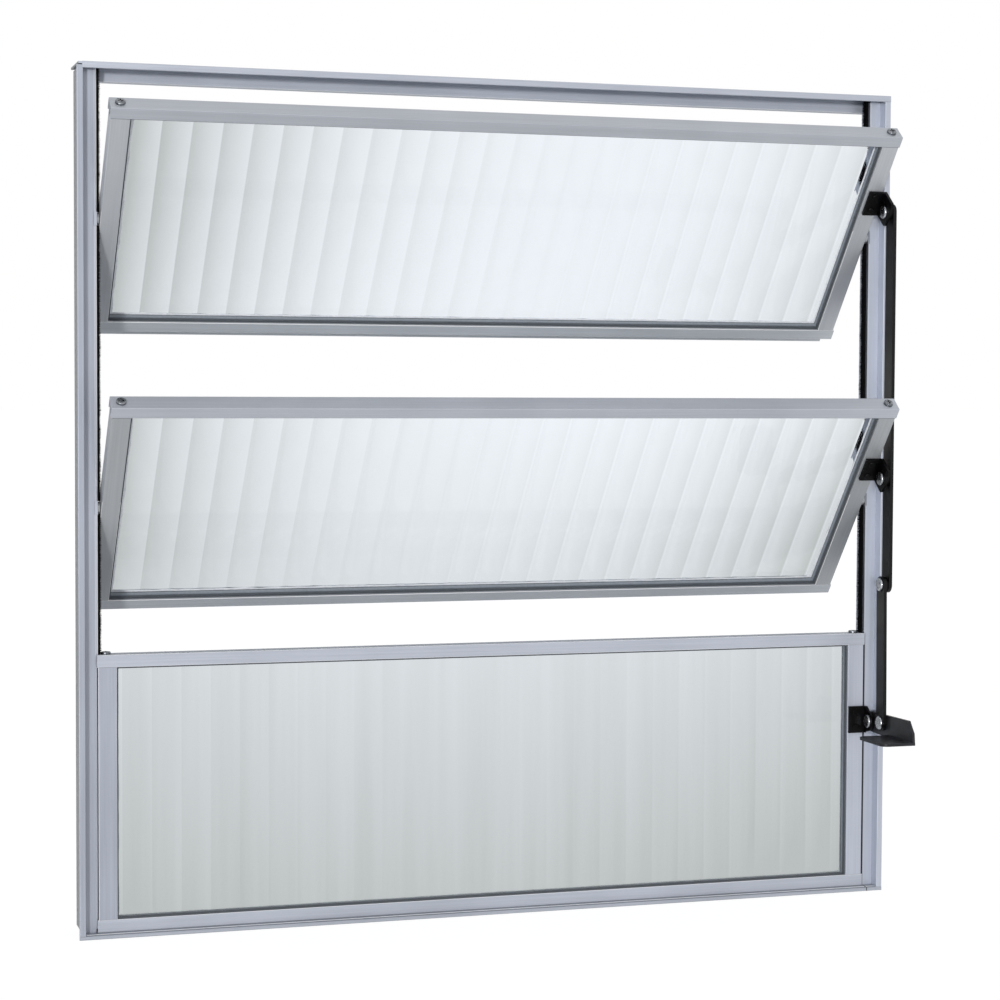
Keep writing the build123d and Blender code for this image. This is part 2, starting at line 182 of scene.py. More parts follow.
world = bpy.data.worlds.new("white_room")
world.use_nodes = True
bpy.context.scene.world = world
tree = world.node_tree
tree.nodes.clear()
direct, indirect = kinds_of_ray(tree)
seen = add(tree, "Math", {0: direct, 1: indirect}, operation="MAXIMUM")
plain_light = add(tree, "Background", {"Color": linear("#FCFDFF"), "Strength": AMBIENT})
white_backdrop = add(tree, "Background", {"Color": linear("#FFFFFF"), "Strength": 1.0})
room = add(tree, "MixShader", {0: seen, 1: plain_light, 2: white_backdrop})
add(tree, "OutputWorld", {"Surface": room})

key_data = bpy.data.lights.new("key_lamp", "SUN")
key_data.energy = KEY_STRENGTH
key_data.angle = KEY_WIDTH
key_lamp = put_in_scene("key_lamp", key_data)
to_lamp = Vector((-math.sin(KEY_LEFT) * math.cos(KEY_RISE), -math.cos(KEY_LEFT) * math.cos(KEY_RISE),
                  math.sin(KEY_RISE)))
key_lamp.rotation_euler = to_lamp.to_track_quat("Z", "Y").to_euler()

bpy.context.scene.view_settings.view_transform = "Standard"
print("ambient", AMBIENT, "and key", KEY_STRENGTH)

# %% [markdown]
# The window stands on its sill on a plain pale floor. The photograph's ground is pure white, so the floor
# mixes its own shaded colour with plain white wherever the camera, a gloss or the glass looks at it. To the
# camera that white is lifted a little, to make up for the shaded share. A soft shadow stays.

# %% Floor
FLOOR_SIZE = 60.0
FLOOR_DROP = 0.2 * MM
FLOOR_WHITE = 0.82
FLOOR_LIFT = 0.13


def mesh_piece(name, vertices, faces, material):
    """Makes a piece from its corners and faces, gives it a material, and puts it in the scene."""
    mesh = bpy.data.meshes.new(name)
    mesh.from_pydata(vertices, [], faces)
    mesh.materials.append(material)
    return put_in_scene(name, mesh)


pale_floor, tree = new_material("pale_floor")
direct, indirect = kinds_of_ray(tree)
shaded = add(tree, "BsdfDiffuse", {"Color": linear("#F2F3F5")})
lifted = add(tree, "Math", {0: direct, 1: FLOOR_LIFT, 2: 1.0}, operation="MULTIPLY_ADD")
plain_white = add(tree, "Emission", {"Color": linear("#FFFFFF"), "Strength": lifted})
white_share = add(tree, "Math", {0: direct, 1: FLOOR_WHITE, 2: indirect}, operation="MULTIPLY_ADD")
mixed = add(tree, "MixShader", {0: white_share, 1: shaded, 2: plain_white})
add(tree, "OutputMaterial", {"Surface": mixed})
half = FLOOR_SIZE / 2
corners = [(x * half, y * half, -FLOOR_DROP) for x, y in ((-1, -1), (1, -1), (1, 1), (-1, 1))]
floor = mesh_piece("floor", corners, [(0, 1, 2, 3)], pale_floor)
print("floor of", FLOOR_SIZE, "m")

# %% [markdown]
# The window's members fall into groups. The head, the sill and the fixed sash's rails run across, the jambs
# and the fixed sash's stiles run up, and the two turning sashes lean with the window's opening.

# %% Which way each member runs
OPENING = -math.radians(frame["joints"][0]["range_deg"][0])
SASHES = ("fixed_sash", "middle_sash", "upper_sash")
TURNING_SASHES = SASHES[1:]
FIXED_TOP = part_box("fixed_sash_top_rail")[1].z
ACROSS = ["head", "fixed_sash_top_rail", "fixed_sash_bottom_rail"]
LEFT_UPRIGHTS = ["left_jamb", "fixed_sash_left_stile"]
RIGHT_UPRIGHTS = ["right_jamb", "fixed_sash_right_stile"]
print(len(ACROSS), "across,", len(LEFT_UPRIGHTS + RIGHT_UPRIGHTS), "upright, open by",
      round(math.degrees(OPENING), 1), "degrees")

# %% [markdown]
# The metal isn't painted the same all over. Behind the frame's bead its rounded edges get a painted
# highlight, and on the right uprights a painted shade instead. Painted shade also darkens the jambs' outer
# sides, the open seam beside the fixed sash and narrow corners. Each of these is a mask: a value of 1 where
# it applies and 0 elsewhere, worked out from the place or the slope of the surface. The painted shade in
# corners comes from ambient occlusion, which says how much of the sky above a point is open.

# %% Where metal gets painted highlight and shade
BEHIND_BEAD = -18.4 * MM
FLAT_FACE = 0.985
ROUNDED_EDGE = 0.82
OUTER_WEB = 296.5 * MM
SEAM_MIDDLE = 287.7 * MM
SEAM_HALF = 0.4 * MM


def behind_bead(tree, parts):
    """1 behind the frame's front bead. parts are the coordinates of the place."""
    return add(tree, "Math", {0: parts.outputs["Y"], 1: BEHIND_BEAD}, operation="GREATER_THAN")


def arris(tree, parts, lean):
    """1 on the rounded long edges of an extrusion behind the bead, and 0 on its flat faces."""
    facing = add(tree, "TexCoord").outputs["Normal"]
    turned = add(tree, "Mapping", {"Vector": facing, "Rotation": (lean, 0, 0)}, vector_type="VECTOR")
    sizes = add(tree, "SeparateXYZ", {0: add(tree, "VectorMath", {0: turned}, operation="ABSOLUTE")})
    most = add(tree, "Math", {0: sizes.outputs["X"], 1: sizes.outputs["Y"]}, operation="MAXIMUM")
    most = add(tree, "Math", {0: most, 1: sizes.outputs["Z"]}, operation="MAXIMUM")
    edge = add(tree, "MapRange", {"Value": most, "From Min": FLAT_FACE, "From Max": ROUNDED_EDGE})
    return add(tree, "Math", {0: behind_bead(tree, parts), 1: edge}, operation="MULTIPLY")


def outer_web_shade(tree, parts):
    """1 on the outer side of the jambs, behind the bead, where shade is painted."""
    aside = add(tree, "Math", {0: parts.outputs["X"]}, operation="ABSOLUTE")
    outside = add(tree, "Math", {0: aside, 1: OUTER_WEB}, operation="GREATER_THAN")
    return add(tree, "Math", {0: outside, 1: behind_bead(tree, parts)}, operation="MULTIPLY")


def seam_shade(tree, parts):
    """1 on the strip of the right jamb along the fixed sash, where the open seam's shade is painted."""
    strip = add(tree, "Math", {0: parts.outputs["X"], 1: SEAM_MIDDLE, 2: SEAM_HALF}, operation="COMPARE")
    beside = add(tree, "Math", {0: parts.outputs["Z"], 1: FIXED_TOP}, operation="LESS_THAN")
    return add(tree, "Math", {0: strip, 1: beside}, operation="MULTIPLY")


def corner_shade(tree, reach, closed, clear, most, samples=8):
    """The share of painted shade: most where no more than closed of the sky is open, 0 from clear upwards."""
    sky = add(tree, "AmbientOcclusion", {"Distance": reach}, samples=samples).outputs["AO"]
    return add(tree, "MapRange", {"Value": sky, "From Min": closed, "From Max": clear, "To Min": most,
                                  "To Max": 0.0})


# The seam's painted shade ends at the top of the fixed sash.
print("the seam's dirt ends", round(FIXED_TOP / MM, 1), "mm up")

# %% [markdown]
# The frame and the sash members are extruded aluminium, satin anodised. The die leaves faint lines along each
# length, and the etched surface spreads every reflection, so the metal shows a soft blue grey with no mirror
# image. The lines are noise that is stretched along the length, drawn coarser than the real ones, which are
# too fine to show. Each group of members gets this recipe turned to its own length, in the tone that the
# room's light gives the group.

# %% Satin anodised aluminium
DIE_LINE = 1.1 * MM
LINE_STRETCH = 0.012
LINE_DEPTH = 0.03 * MM
LINE_SHARE = 0.55
CLOUD = 70 * MM
CLOUD_SHARE = 0.45
WEB_SHADE_GRAIN = 3 * MM
SEAM_REACH = 1.2 * MM


def anodised_aluminium(name, lean, stretch, dark, light, edge="#FFFFFF"):
    """Satin anodised aluminium with die lines along its length. lean turns the pattern about X. edge colours
    the rounded edges: a painted highlight where it is light, a painted shade where it is dark.
    """
    made, tree = new_material(name)
    place = add(tree, "TexCoord").outputs["Object"]
    parts = add(tree, "SeparateXYZ", {0: place})
    turned = add(tree, "Mapping", {"Vector": place, "Rotation": (lean, 0, 0)})
    drawn = add(tree, "Mapping", {"Vector": turned, "Scale": stretch})
    lines = add(tree, "TexNoise", {"Vector": drawn, "Scale": 1 / DIE_LINE, "Detail": 3.0, "Roughness": 0.6})
    clouds = add(tree, "TexNoise", {"Vector": place, "Scale": 1 / CLOUD, "Detail": 2.0})
    tone = add(tree, "Math", {0: lines, 1: LINE_SHARE}, operation="MULTIPLY")
    tone = add(tree, "Math", {0: clouds, 1: CLOUD_SHARE, 2: tone}, operation="MULTIPLY_ADD")
    plain = add(tree, "ValToRGB", {"Fac": tone}, stops=((0.32, dark), (0.68, light)))
    # The edge colour is painted on the rounded edges behind the bead: a painted highlight when it is light, a
    # painted shade when it is dark.
    with_edge_light = add(tree, "Mix", {0: arris(tree, parts, lean), 6: plain, 7: linear(edge)}, data_type="RGBA")
    # Painted shade on the jambs' outer sides behind the bead, mottled by noise.
    web_shade_noise = add(tree, "TexNoise", {"Vector": place, "Scale": 1 / WEB_SHADE_GRAIN, "Detail": 4.0})
    web_shade = add(tree, "ValToRGB", {"Fac": web_shade_noise}, stops=((0.35, "#5E6266"), (0.65, "#7E8387")))
    with_web_shade = add(tree, "Mix", {0: outer_web_shade(tree, parts), 6: with_edge_light.outputs[2], 7: web_shade}, data_type="RGBA")
    # Painted shade in narrow corners and in the seam beside the fixed sash.
    corners = corner_shade(tree, SEAM_REACH, closed=0.2, clear=0.6, most=0.6, samples=6)
    painted_shade = add(tree, "Math", {0: corners, 1: seam_shade(tree, parts)}, operation="MAXIMUM")
    with_painted_shade = add(tree, "Mix", {0: painted_shade, 6: with_web_shade.outputs[2], 7: linear("#3A3D42")}, data_type="RGBA")
    gloss = add(tree, "MapRange", {"Value": lines, "To Min": 0.38, "To Max": 0.52})
    relief = add(tree, "Bump", {"Height": lines, "Strength": 0.25, "Distance": LINE_DEPTH})
    metal = add(tree, "BsdfPrincipled", {"Base Color": with_painted_shade.outputs[2], "Metallic": 0.45, "Roughness": gloss,
                                         "Normal": relief})
    add(tree, "OutputMaterial", {"Surface": metal})
    return made


# %% Dress the members
LENGTHWAYS = (LINE_STRETCH, 1, 1)
UPWARDS = (1, 1, LINE_STRETCH)
# Each group's colours hold its own tint together with the painted light and shade that the room gives it: lit
# and shaded copies of one metal.
LEANING = (("middle_sash", "stile", UPWARDS, "#9DA0A3", "#ADB0B3"),
           ("middle_sash", "top_rail", LENGTHWAYS, "#AEB2BA", "#BEC2CA"),
           ("middle_sash", "bottom_rail", LENGTHWAYS, "#A9ADB3", "#B9BDC3"),
           ("upper_sash", "stile", UPWARDS, "#AFB2B6", "#BFC2C6"),
           ("upper_sash", "top_rail", LENGTHWAYS, "#A8ACB3", "#B8BCC3"),
           ("upper_sash", "bottom_rail", LENGTHWAYS, "#B6BABF", "#C6CACF"))

dress(anodised_aluminium("anodised_aluminium_across", 0.0, LENGTHWAYS, "#AAAFB9", "#BBC0CB"), *ACROSS)
dress(anodised_aluminium("anodised_aluminium_sill", 0.0, LENGTHWAYS, "#9DA2AB", "#AEB3BD"), "sill")
# The left uprights are a shaded copy and the right ones a lit copy, and on the right the rounded edges get a
# painted shade.
dress(anodised_aluminium("anodised_aluminium_left", 0.0, UPWARDS, "#9BA0AB", "#ACB1BD"), *LEFT_UPRIGHTS)
dress(anodised_aluminium("anodised_aluminium_right", 0.0, UPWARDS, "#ADB2BD", "#BEC3CF", "#969AA4"),
      *RIGHT_UPRIGHTS)
for sash, part, stretch, dark, light in LEANING:
    leaning = anodised_aluminium(f"anodised_aluminium_{sash}_{part}s", -OPENING, stretch, dark, light)
    dress(leaning, *[name for name in frame["nodes"] if name.startswith(sash) and name.endswith(part)])

# %% [markdown]
# The panes are clear rolled glass with upright flutes towards the room. Each flute is a weak lens: it shows a
# stretched view of what lies behind, so the soft fall of light across the room's far side is repeated in
# every flute as a small step. A pure white backdrop has no such fall, so the glass carries it as a faint
# tint. The tint is a broad hill of light, and inside each flute it is read as the lens would show it,
# stretched about the flute's middle. Three ranges say how the hill changes with height, in metres above the
# sill.

# %% The light that the flutes repeat
FLUTE_PITCH = 20.5 * MM
PEAK_OF_LIGHT = {"From Min": 0.0, "From Max": 0.35, "To Min": 0.06, "To Max": 0.83}
MIDDLE_OF_LIGHT = {"From Min": 0.05, "From Max": 0.50, "To Min": -0.04, "To Max": 0.07}
FALL_OF_LIGHT = {"From Min": 0.18, "From Max": 0.26, "To Min": -1.6, "To Max": -5.9}


def flute_places(tree, across, start):
    """The middle of the flute at each point of a pane, and the distance from that middle."""
    moved = add(tree, "Math", {0: across, 1: start}, operation="SUBTRACT")
    count = add(tree, "Math", {0: moved, 1: FLUTE_PITCH}, operation="DIVIDE")
    whole = add(tree, "Math", {0: count}, operation="FLOOR")
    middle = add(tree, "Math", {0: whole, 1: FLUTE_PITCH, 2: start + FLUTE_PITCH / 2},
                 operation="MULTIPLY_ADD")
    aside = add(tree, "Math", {0: across, 1: middle}, operation="SUBTRACT")
    return middle, aside


def hill_of_light(tree, across, up):
    """The light behind the panes, 0 to 1: brightest high up and a little right of the middle."""
    peak = add(tree, "MapRange", {"Value": up, **PEAK_OF_LIGHT})
    middle = add(tree, "MapRange", {"Value": up, **MIDDLE_OF_LIGHT})
    fall = add(tree, "MapRange", {"Value": up, **FALL_OF_LIGHT})
    aside = add(tree, "Math", {0: across, 1: middle}, operation="SUBTRACT")
    square = add(tree, "Math", {0: aside, 1: aside}, operation="MULTIPLY")
    return add(tree, "Math", {0: square, 1: fall, 2: peak}, operation="MULTIPLY_ADD")


print("flutes", round(FLUTE_PITCH / MM, 1), "mm wide")

# %% [markdown]
# The glass is a dielectric with the usual index of window glass. Rolling draws faint streaks up the pane. A
# slight bump hollows each flute, which weakens its lens, and the glints are dulled, as on a pane that
# reflects a dim room. To light and to shadows the pane is plain and clear, so the lamp shines through it
# without noise.

# %% Fluted glass
TINT_START = -2.0 * MM
FLUTE_STRETCH = 7.0
FLUTE_HOLLOW = 0.6 * MM
DRAW_STREAK = 12 * MM
DRAW_STRETCH = 0.04
GLINT = 0.25


def fluted_glass(name, slant, streaks):
    """Clear rolled glass, tinted flute by flute. slant tips the light across each flute."""
    made, tree = new_material(name)
    place = add(tree, "TexCoord").outputs["Object"]
    parts = add(tree, "SeparateXYZ", {0: place})
    middle, aside = flute_places(tree, parts.outputs["X"], TINT_START)
    stretched = add(tree, "Math", {0: aside, 1: FLUTE_STRETCH, 2: middle}, operation="MULTIPLY_ADD")
    light = hill_of_light(tree, stretched, parts.outputs["Z"])
    light = add(tree, "Math", {0: aside, 1: slant / FLUTE_PITCH, 2: light}, operation="MULTIPLY_ADD")
    drawn = add(tree, "Mapping", {"Vector": place, "Scale": (1, 1, DRAW_STRETCH)})
    streak = add(tree, "TexNoise", {"Vector": drawn, "Scale": 1 / DRAW_STREAK, "Detail": 3.0})
    centred = add(tree, "Math", {0: streak, 1: 0.5}, operation="SUBTRACT")
    light = add(tree, "Math", {0: centred, 1: streaks, 2: light}, operation="MULTIPLY_ADD")
    tint = add(tree, "ValToRGB", {"Fac": light}, stops=((0.0, "#B9BEBE"), (0.86, "#EFF4FA")))
    _, true_aside = flute_places(tree, parts.outputs["X"], 0.0)
    from_middle = add(tree, "Math", {0: true_aside, 1: 2 / FLUTE_PITCH}, operation="MULTIPLY")
    bowl = add(tree, "Math", {0: from_middle, 1: 2.0}, operation="POWER")
    hollow = add(tree, "Bump", {"Height": bowl, "Strength": 1.0, "Distance": FLUTE_HOLLOW})
    glass = add(tree, "BsdfPrincipled", {
        "Base Color": tint, "Roughness": 0.01, "IOR": 1.52, "Transmission Weight": 1.0,
        "Specular Tint": (GLINT, GLINT, GLINT, 1.0), "Normal": hollow})
    path = add(tree, "LightPath")
    lighting = add(tree, "Math", {0: path.outputs["Is Shadow Ray"], 1: path.outputs["Is Diffuse Ray"]},
                   operation="MAXIMUM")
    clear = add(tree, "BsdfTransparent", {"Color": linear("#E4E9EE")})
    pane = add(tree, "MixShader", {0: lighting, 1: glass, 2: clear})
    add(tree, "OutputMaterial", {"Surface": pane})
    return made


dress(fluted_glass("fluted_glass_fixed", 0.0, 0.25), "fixed_sash_glass")
dress(fluted_glass("fluted_glass_middle", -0.09, 0.08), "middle_sash_glass")
dress(fluted_glass("fluted_glass_upper", -0.02, 0.08), "upper_sash_glass")

# %% [markdown]
# What lines a pane's opening is best described in the sash's own upright frame, where depth is plain depth.
# The leaning sashes are turned back about their pivots and measured there, and what is built is turned with
# them again.

# %% Measure a sash in its own upright frame
PIVOTS = {joint["child"]: Vector(joint["pos_m"]) for joint in frame["joints"]}


def sash_turn(sash):
    """The turn that takes a sash from upright to where it stands at rest."""
    if sash not in TURNING_SASHES:
        return Matrix.Identity(4)
    pivot = Matrix.Translation(PIVOTS[sash])
    return pivot @ Matrix.Rotation(OPENING, 4, "X") @ pivot.inverted()


def sash_box(sash, part):
    """The lowest and highest corner of a sash's part, measured with the sash upright."""
    back = sash_turn(sash).inverted()
    corners = [back @ vertex.co for vertex in frame["nodes"][f"{sash}_{part}"].data.vertices]
    return [Vector([pick(corner[axis] for corner in corners) for axis in range(3)]) for pick in (min, max)]


for sash in SASHES:
    low, high = sash_box(sash, "glass")
    print(sash, "pane", [round(side / MM, 1) for side in high - low], "mm")

# %% [markdown]
# A channel of rubber holds each pane in its sash. It is dark and matt, and smears of sealant and dust are
# drawn out along it. A paler band along its middle is a painted highlight, the glint of a ridge that the
# solids don't have. The colour is laid out in bands by depth below the sash's front, so each pane's channel
# has a material that measures depth in its own sash. The smears push the bands to and fro.

# %% Gasket rubber
RUBBER_AND_GLINT_BANDS = ((0.0, "#4E5359"), (0.34, "#585E64"), (0.44, "#9298A0"), (0.76, "#A0A6AD"), (0.86, "#686E74"),
                (1.0, "#666C72"))
SMEAR = 1.6 * MM
SMEAR_STRETCH = 0.06
SMEAR_PUSH = 0.7 * MM
RUBBER_GRAIN = 1.5 * MM
GRAIN_DEPTH = 0.1 * MM


def gasket_rubber(sash):
    """Dark rubber with a painted glint along its middle, for the channel of one sash."""
    made, tree = new_material(f"{sash}_gasket_rubber")
    place = add(tree, "TexCoord").outputs["Object"]
    back = sash_turn(sash).inverted()
    upright = add(tree, "Mapping", {"Vector": place, "Location": back.translation,
                                    "Rotation": back.to_euler()})
    depth = add(tree, "SeparateXYZ", {0: upright}).outputs["Y"]
    drawn = add(tree, "Mapping", {"Vector": upright, "Scale": (SMEAR_STRETCH, 1, SMEAR_STRETCH)})
    smear = add(tree, "TexNoise", {"Vector": drawn, "Scale": 1 / SMEAR, "Detail": 3.0})
    centred = add(tree, "Math", {0: smear, 1: 0.5}, operation="SUBTRACT")
    pushed = add(tree, "Math", {0: centred, 1: SMEAR_PUSH, 2: depth}, operation="MULTIPLY_ADD")
    near, far = sash_box(sash, "gasket")
    share = add(tree, "MapRange", {"Value": pushed, "From Min": near.y, "From Max": far.y})
    # The pale middle band is a painted highlight.
    bands = add(tree, "ValToRGB", {"Fac": share}, stops=RUBBER_AND_GLINT_BANDS)
    grain = add(tree, "TexNoise", {"Vector": place, "Scale": 1 / RUBBER_GRAIN, "Detail": 3.0})
    worn = add(tree, "MapRange", {"Value": grain, "From Min": 0.3, "From Max": 0.7, "To Min": 0.82,
                                  "To Max": 1.0})
    colour = add(tree, "Mix", {0: 1.0, 6: bands, 7: worn}, data_type="RGBA", blend_type="MULTIPLY")
    relief = add(tree, "Bump", {"Height": grain, "Strength": 0.4, "Distance": GRAIN_DEPTH})
    rubber = add(tree, "BsdfPrincipled", {"Base Color": colour.outputs[2], "Roughness": 0.6,
                                          "Normal": relief})
    add(tree, "OutputMaterial", {"Surface": rubber})
    return made


for sash in SASHES:
    dress(gasket_rubber(sash), f"{sash}_gasket")

# %% [markdown]
# Over the rubber, each pane was sealed by hand with silicone. In the turning sashes it is painted milky
# white, partly for age and partly as a painted highlight: the thin white line of light that its wavy bead
# shows. Round the fixed pane it is thinner and still fairly clear.

# %% Silicone
MILK_PATCH = 3 * MM


def silicone(name, dull, milky, clearness):
    """Silicone sealant that has gone milky in patches. clearness is the share of light that goes through."""
    made, tree = new_material(name)
    place = add(tree, "TexCoord").outputs["Object"]
    milk = add(tree, "TexNoise", {"Vector": place, "Scale": 1 / MILK_PATCH, "Detail": 3.0})
    colour = add(tree, "ValToRGB", {"Fac": milk}, stops=((0.3, dull), (0.7, milky)))
    sealant = add(tree, "BsdfPrincipled", {"Base Color": colour, "Roughness": 0.25, "IOR": 1.41,
                                           "Transmission Weight": clearness})
    add(tree, "OutputMaterial", {"Surface": sealant})
    return made


clear_silicone = silicone("clear_silicone", "#9BA1A5", "#BCC1C5", 0.7)
# The milky white is partly a painted highlight, the white line of light that the bead shows.
milky_silicone = silicone("milky_silicone", "#E6EAF0", "#FBFCFE", 0.15)
print("made", clear_silicone.name, "and", milky_silicone.name)

# %% [markdown]
# The bead runs round the pane between the rubber and the glass. Its section is a quarter of an ellipse, wide
# on the glass and low against the rubber. Noise makes its width and height wander as a hand does, with 90 and
# 60 waves to the metre, and the run ends in a lump at the bottom right corner.

# %% Silicone bead
BEAD_SIDES = (("bottom", (0, 1), 1.3 * MM), ("right", (-1, 0), 1.2 * MM), ("top", (0, -1), 0.8 * MM),
              ("left", (1, 0), 2.4 * MM))
FIXED_SHARE = 0.45
BEAD_LIFT = 0.25
BEAD_STEP = 2.0 * MM
BEAD_POINTS = 5
CHANNEL_WALL = 1.0 * MM
WIDTH_WAVES = 90
WIDTH_WANDER = 0.45
HEIGHT_WAVES = 60
HEIGHT_WANDER = 0.4
HEIGHT_SHIFT = 7
HEIGHT_SLICE = 3
SASH_SHIFT = 50
LAST_LUMP = 1.2
LUMP_REACH = 6 * MM


def bead_route(low, high):
    """Points round a pane's opening, each with the direction inwards and the bead's width there."""
    corners = [(low.x, low.z), (high.x, low.z), (high.x, high.z), (low.x, high.z)]
    route = []
    for number, (_, inward, width) in enumerate(BEAD_SIDES):
        (x0, z0), (x1, z1) = corners[number], corners[(number + 1) % 4]
        count = max(2, round(math.hypot(x1 - x0, z1 - z0) / BEAD_STEP))
        before = BEAD_SIDES[number - 1][1]
        diagonal = (before[0] + inward[0], before[1] + inward[1])
        for index in range(count):
            share = index / count
            into = diagonal if index == 0 else inward
            route.append((x0 + (x1 - x0) * share, z0 + (z1 - z0) * share, into, width))
    return route


def silicone_bead(sash, body, sealant):
    """A wavy bead between the rubber and the front of a pane, all round."""
    rubber_low, rubber_high = sash_box(sash, "gasket")
    channel = sash_box(sash, "left_stile")[1].x + CHANNEL_WALL - rubber_low.x
    inset = Vector((channel, 0, channel))
    low, high = rubber_low + inset, rubber_high - inset
    face = sash_box(sash, "glass")[0].y
    route = bead_route(low, high)
    vertices, faces = [], []
    for x, z, (dx, dz), full_width in route:
        width = full_width * (1 if sash in TURNING_SASHES else FIXED_SHARE)
        wave_place = Vector((x * WIDTH_WAVES, z * WIDTH_WAVES, face * SASH_SHIFT))
        rise_place = Vector((x * HEIGHT_WAVES + HEIGHT_SHIFT, z * HEIGHT_WAVES, HEIGHT_SLICE))
        wave = 1 + noise.noise(wave_place) * WIDTH_WANDER
        rise = 1 + noise.noise(rise_place) * HEIGHT_WANDER
        wave += LAST_LUMP * max(0, 1 - math.hypot(x - high.x, z - low.z) / LUMP_REACH)
        for index in range(BEAD_POINTS):
            angle = math.pi / 2 * index / (BEAD_POINTS - 1)
            out = width * wave * math.sin(angle)
            lift = width * BEAD_LIFT * rise * math.cos(angle)
            vertices.append((x + dx * out, face - lift, z + dz * out))
    for ring in range(len(route)):
        following = (ring + 1) % len(route)
        for index in range(BEAD_POINTS - 1):
            a = ring * BEAD_POINTS + index
            b = following * BEAD_POINTS + index
            faces.append((a, b, b + 1, a + 1))
    bead = mesh_piece(f"{sash}_silicone", vertices, faces, sealant)
    bead.data.transform(sash_turn(sash))
    for polygon in bead.data.polygons:
        polygon.use_smooth = True
    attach(bead, body)
    print(bead.name, len(faces), "faces")


silicone_bead("fixed_sash", "frame", clear_silicone)
silicone_bead("middle_sash", "middle_sash", milky_silicone)
silicone_bead("upper_sash", "upper_sash", milky_silicone)

# %% [markdown]
# The strips along both jambs are brush pile: thousands of fine black fibres clipped in a plain backing. The
# fibre is polypropylene, and the pile is so deep that it swallows the light.

# %% Polypropylene fibre
FIBRE_SHADE = 1.2 * MM

polypropylene_pile, tree = new_material("polypropylene_pile")
place = add(tree, "TexCoord").outputs["Object"]
shade = add(tree, "TexNoise", {"Vector": place, "Scale": 1 / FIBRE_SHADE, "Detail": 2.0})
colour = add(tree, "ValToRGB", {"Fac": shade}, stops=((0.3, "#020203"), (0.75, "#101012")))
fibre = add(tree, "BsdfPrincipled", {"Base Color": colour, "Roughness": 0.95, "Specular IOR Level": 0.08})
add(tree, "OutputMaterial", {"Surface": fibre})
print("made", polypropylene_pile.name)

# %% [markdown]
# The model has the strips as bars at the outline of the pile. Here each fibre is a thin pointed prism,
# coarser and further apart than the real ones, which are too fine to show, and a dense bar fills the heart of
# the pile behind the tips. Lengths and leans vary a little, so the edge looks frayed. The right strip is seen
# from its side and is clipped shorter. Beside the fixed sash the pile is squeezed into the seam.

# %% Shapes of the brush
LEFT, RIGHT = -1, 1
CHAMFER = 0.3 * MM
FIBRE_RINGS = ((0.0, 1.0), (0.7, 0.8))


def add_prism(vertices, faces, section, low, high):
    """Adds a closed prism: a section in X and Y, drawn up between two heights."""
    start, count = len(vertices), len(section)
    vertices += [(x, y, z) for z in (low, high) for x, y in section]
    for index in range(count):
        after = (index + 1) % count
        faces.append((start + index, start + after, start + count + after, start + count + index))
    faces.append(tuple(range(start, start + count)))
    faces.append(tuple(range(start + count, start + 2 * count)))


def bar_section(side, wall, front, back, height):
    """The section of a bar with chamfered edges that stands on the jamb's wall."""
    outline = [(front, 0), (front, height - CHAMFER), (front + CHAMFER, height), (back - CHAMFER, height),
               (back, height - CHAMFER), (back, 0)]
    return [(wall - side * out, y) for y, out in outline]


def add_fibre(vertices, faces, root, tip, width):
    """Adds a three-sided prism that narrows to a point."""
    start = len(vertices)
    for share, size in FIBRE_RINGS:
        centre = root.lerp(tip, share)
        for corner in range(3):
            angle = 2 * math.pi * corner / 3
            vertices.append((centre.x, centre.y + math.cos(angle) * width * size / 2,
                             centre.z + math.sin(angle) * width * size / 2))
    vertices.append(tuple(tip))
    for corner in range(3):
        after = (corner + 1) % 3
        faces.append((start + corner, start + after, start + 3 + after, start + 3 + corner))
        faces.append((start + 3 + corner, start + 3 + after, start + 6))


print("a fibre has", 3 * len(FIBRE_RINGS) + 1, "corners")

# %% [markdown]
# The strips break at each pivot, where a bush stands in their way. Noise lifts and lowers whole tufts, 200 to
# the metre across the strip and 120 up, and chance does the rest: each fibre has its own root, length and
# lean.

# %% Brush strips
FIBRE_PITCH = 0.34 * MM
FIBRE_ROWS = (-9.2 * MM, -7.4 * MM, -5.6 * MM, -3.8 * MM)
FIBRE_WIDTH = 0.40 * MM
FIBRE_JITTER = (0.1, 0.9)
PILE_TIP = {LEFT: 282.9 * MM, RIGHT: 284.2 * MM}
SQUEEZED_TIP = 286.2 * MM
PILE_FRAY = 0.45 * MM
LENGTH_SPREAD = 0.35 * PILE_FRAY
TUFTS_ACROSS = 200
TUFTS_UP = 120
ROOT_SPREAD = 0.4 * MM
DEPTH_LEAN = 0.3 * MM
HEIGHT_LEAN = 0.25 * MM
BACKING = 0.9 * MM
DENSE_PILE = 1.2 * MM
PILE_BREAK = 4.4 * MM


